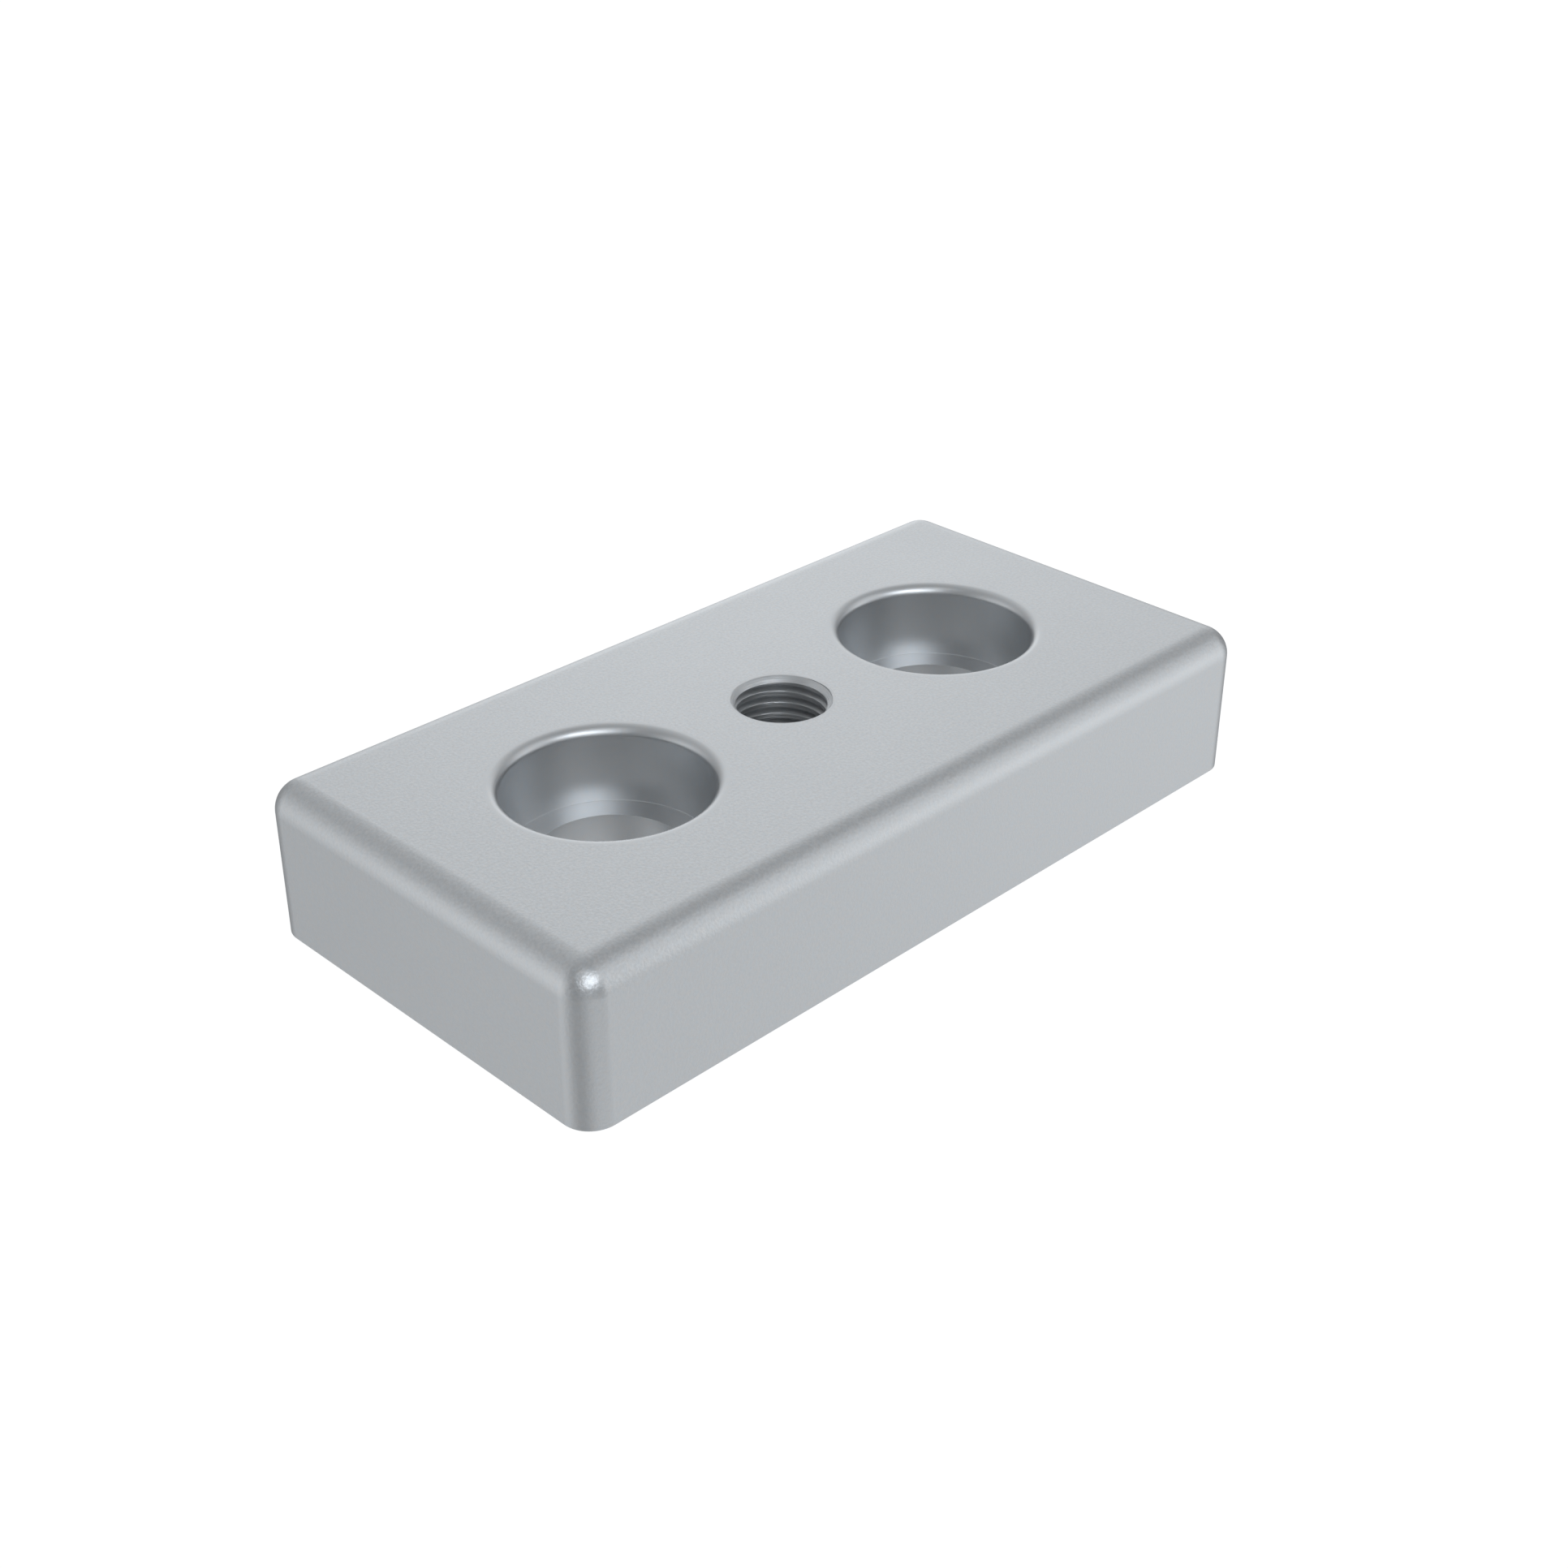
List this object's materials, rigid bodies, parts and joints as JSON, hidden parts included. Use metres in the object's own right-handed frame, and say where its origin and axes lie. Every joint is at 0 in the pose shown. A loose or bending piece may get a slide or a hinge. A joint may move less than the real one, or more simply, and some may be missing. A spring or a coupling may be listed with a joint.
{
  "type": "base plate",
  "caption": "Rectangular end plate for a profile, with rounded top edges, counterbored screw holes and a tapped hole in the centre for a levelling foot.",
  "frame": {"origin": "centre of the underside, the face that lies on the profile's end", "axes": "+X along the plate's length, +Y across its width, +Z out of the top face, along the tapped hole"},
  "size_m": [0.09, 0.045, 0.016],
  "materials": {
    "metal": "satin"
  },
  "bodies": {
    "root": {"base_plate": "metal"}
  },
  "joints": []
}
